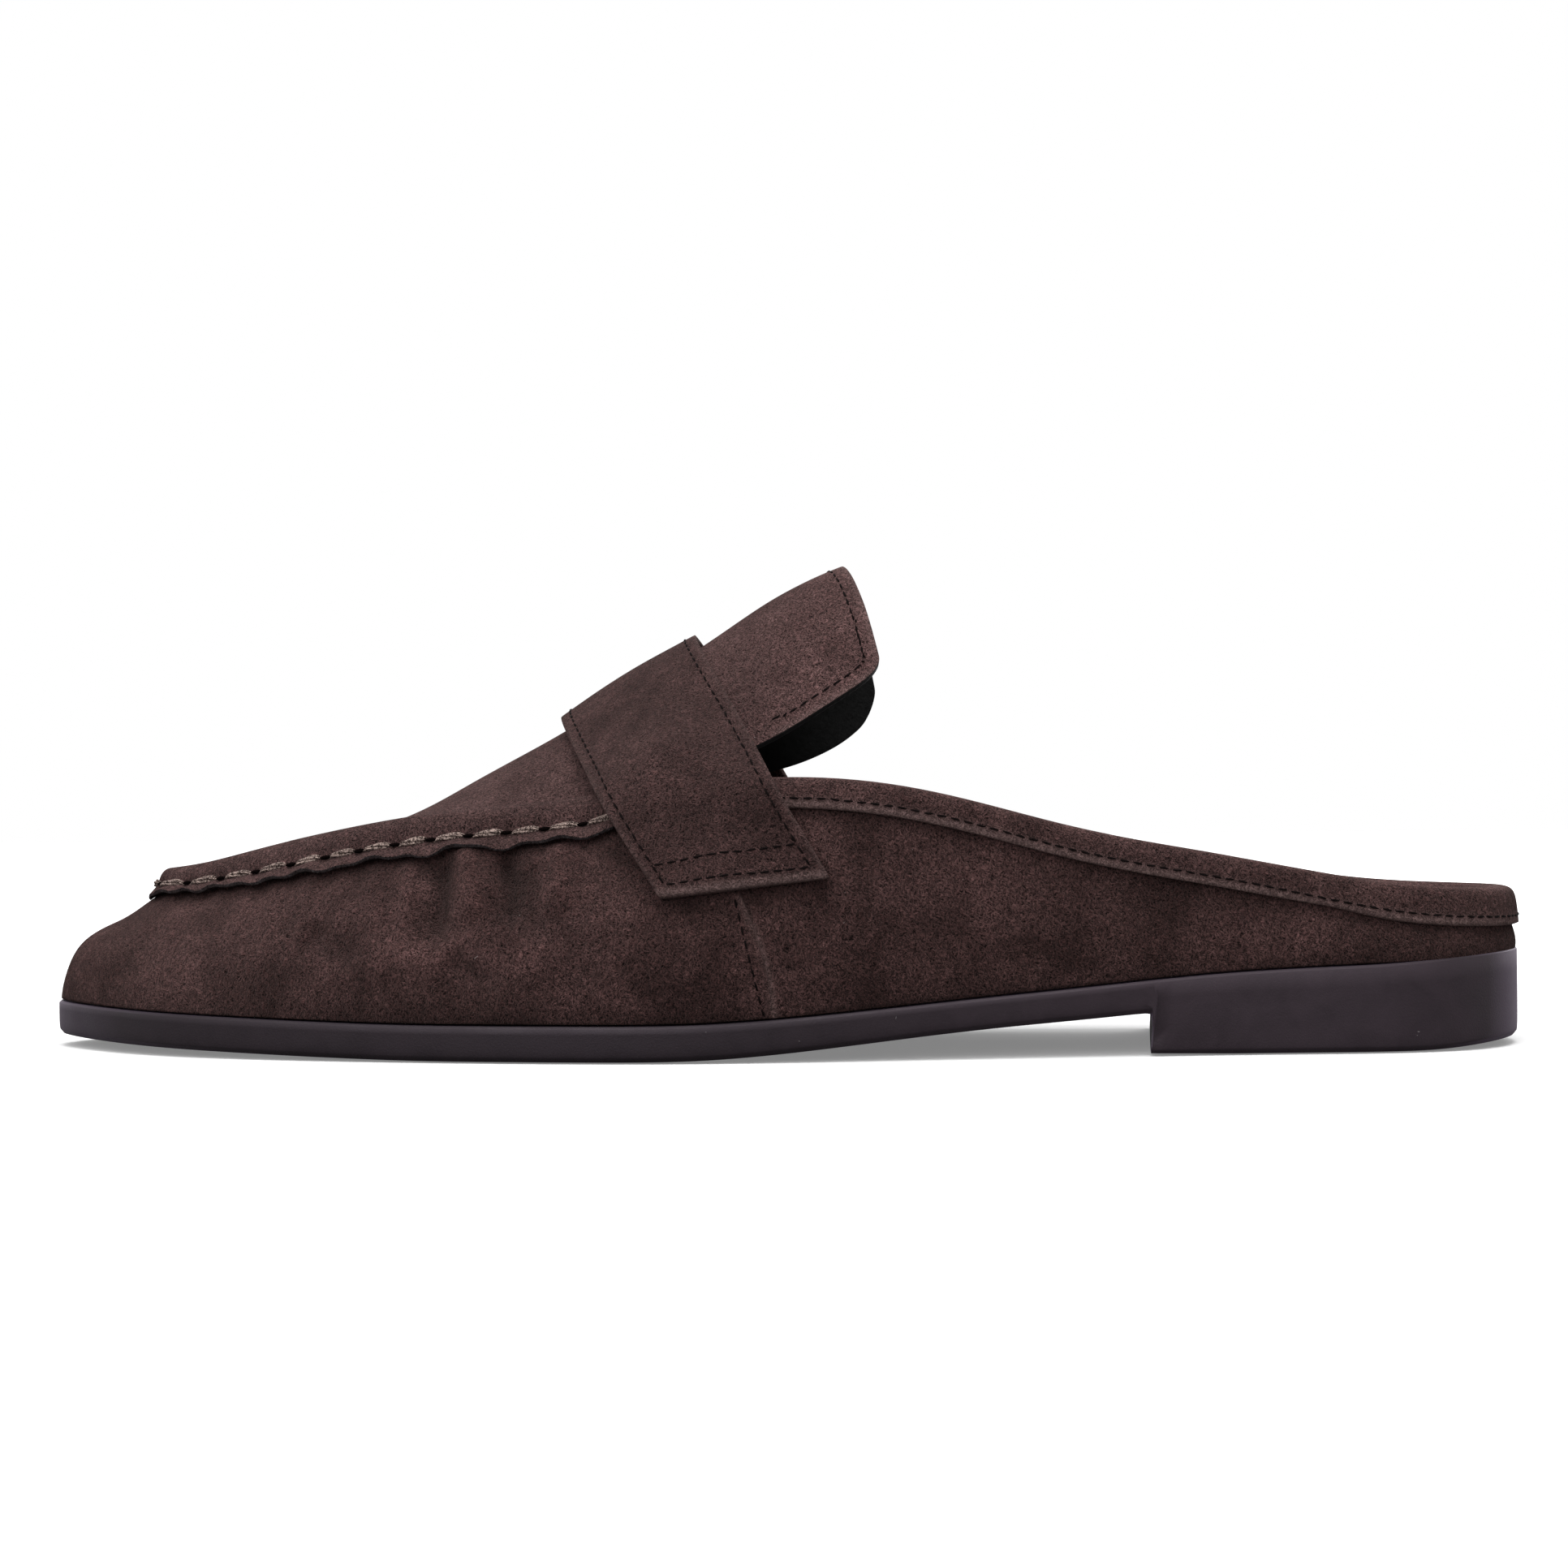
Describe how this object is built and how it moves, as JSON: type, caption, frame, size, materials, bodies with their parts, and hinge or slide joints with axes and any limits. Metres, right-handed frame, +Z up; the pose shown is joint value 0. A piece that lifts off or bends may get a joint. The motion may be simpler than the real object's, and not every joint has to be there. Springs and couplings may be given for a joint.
{
  "type": "loafer mule",
  "caption": "Backless suede loafer with a raised apron seam, long tongue, plain strap over the instep, bound collar and low rubber sole with a stacked heel.",
  "frame": {"origin": "on the floor, under the middle of the shoe's box", "axes": "+X towards the heel, +Y towards the medial side, +Z up"},
  "size_m": [0.2624, 0.0834, 0.0853],
  "materials": {
    "rubber": "matte moulded edge",
    "sock": "smooth black lining",
    "suede": "napped suede"
  },
  "bodies": {
    "root": {"outsole": "rubber", "insole": "sock", "upper": "suede", "apron_tongue": "suede", "strap": "suede", "collar_binding": "suede"}
  },
  "joints": []
}
